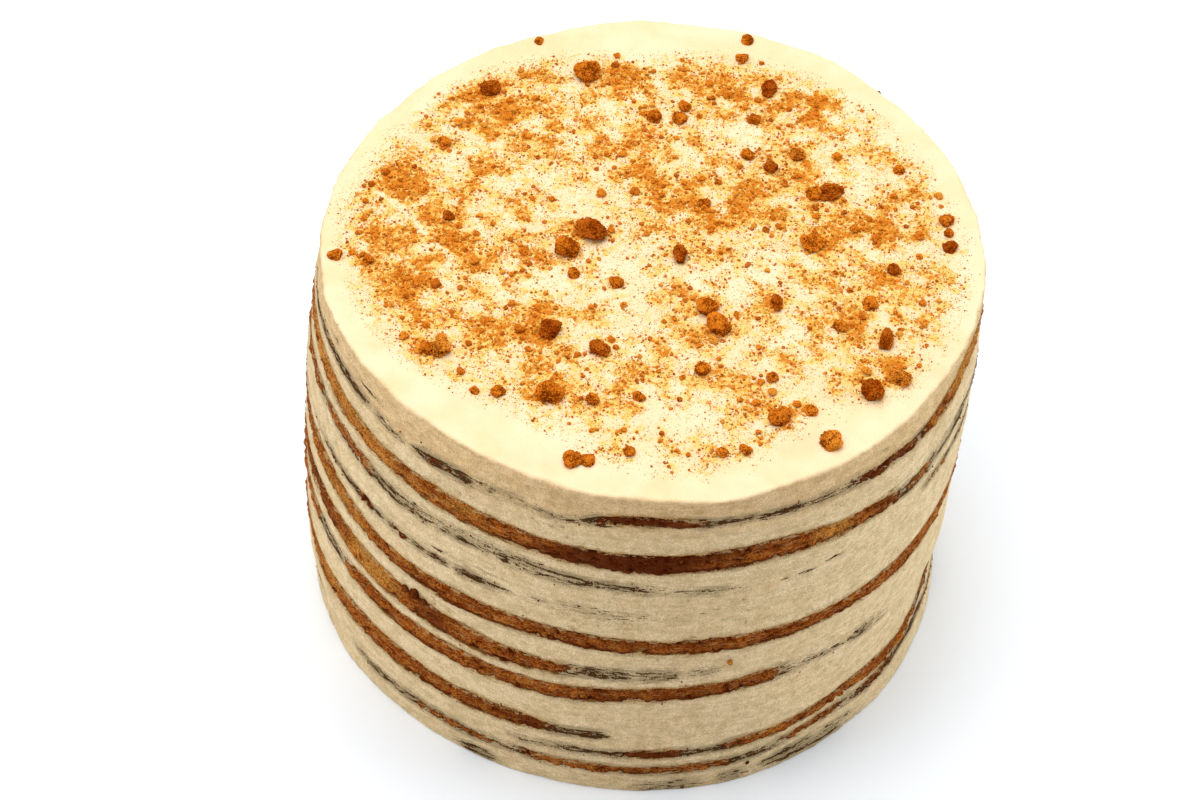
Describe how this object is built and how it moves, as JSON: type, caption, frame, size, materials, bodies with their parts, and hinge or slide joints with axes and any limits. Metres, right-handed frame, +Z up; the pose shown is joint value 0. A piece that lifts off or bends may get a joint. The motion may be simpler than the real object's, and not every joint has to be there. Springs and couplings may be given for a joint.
{
  "type": "medovik honey cake",
  "caption": "Small round medovik: thin honey biscuits stacked with sour cream, a scraped coat of cream at the side and biscuit crumbs on the flat top.",
  "frame": {"origin": "middle of the box round the cake, on the surface that it stands on", "axes": "+Z up out of the strewn top, -Y towards the side that the picture shows"},
  "size_m": [0.1237, 0.1212, 0.0872],
  "materials": {
    "cream": "moist matt sour cream, smoothed on the top and scraped thin at the side",
    "honey_biscuit": "dark golden-brown baked honey biscuit, crumbly and matt"
  },
  "bodies": {
    "root": {"cream_top": "cream", "honey_layer_01": "honey_biscuit", "cream_layer_01": "cream", "honey_layer_02": "honey_biscuit", "cream_layer_02": "cream", "honey_layer_03": "honey_biscuit", "cream_layer_03": "cream", "honey_layer_04": "honey_biscuit", "cream_layer_04": "cream", "honey_layer_05": "honey_biscuit", "cream_layer_05": "cream", "honey_layer_06": "honey_biscuit", "cream_layer_06": "cream", "honey_layer_07": "honey_biscuit", "cream_layer_07": "cream", "honey_layer_08": "honey_biscuit", "cream_layer_08": "cream", "honey_layer_09": "honey_biscuit", "cream_layer_09": "cream", "honey_layer_10": "honey_biscuit", "cream_layer_10": "cream", "honey_layer_11": "honey_biscuit"}
  },
  "joints": []
}
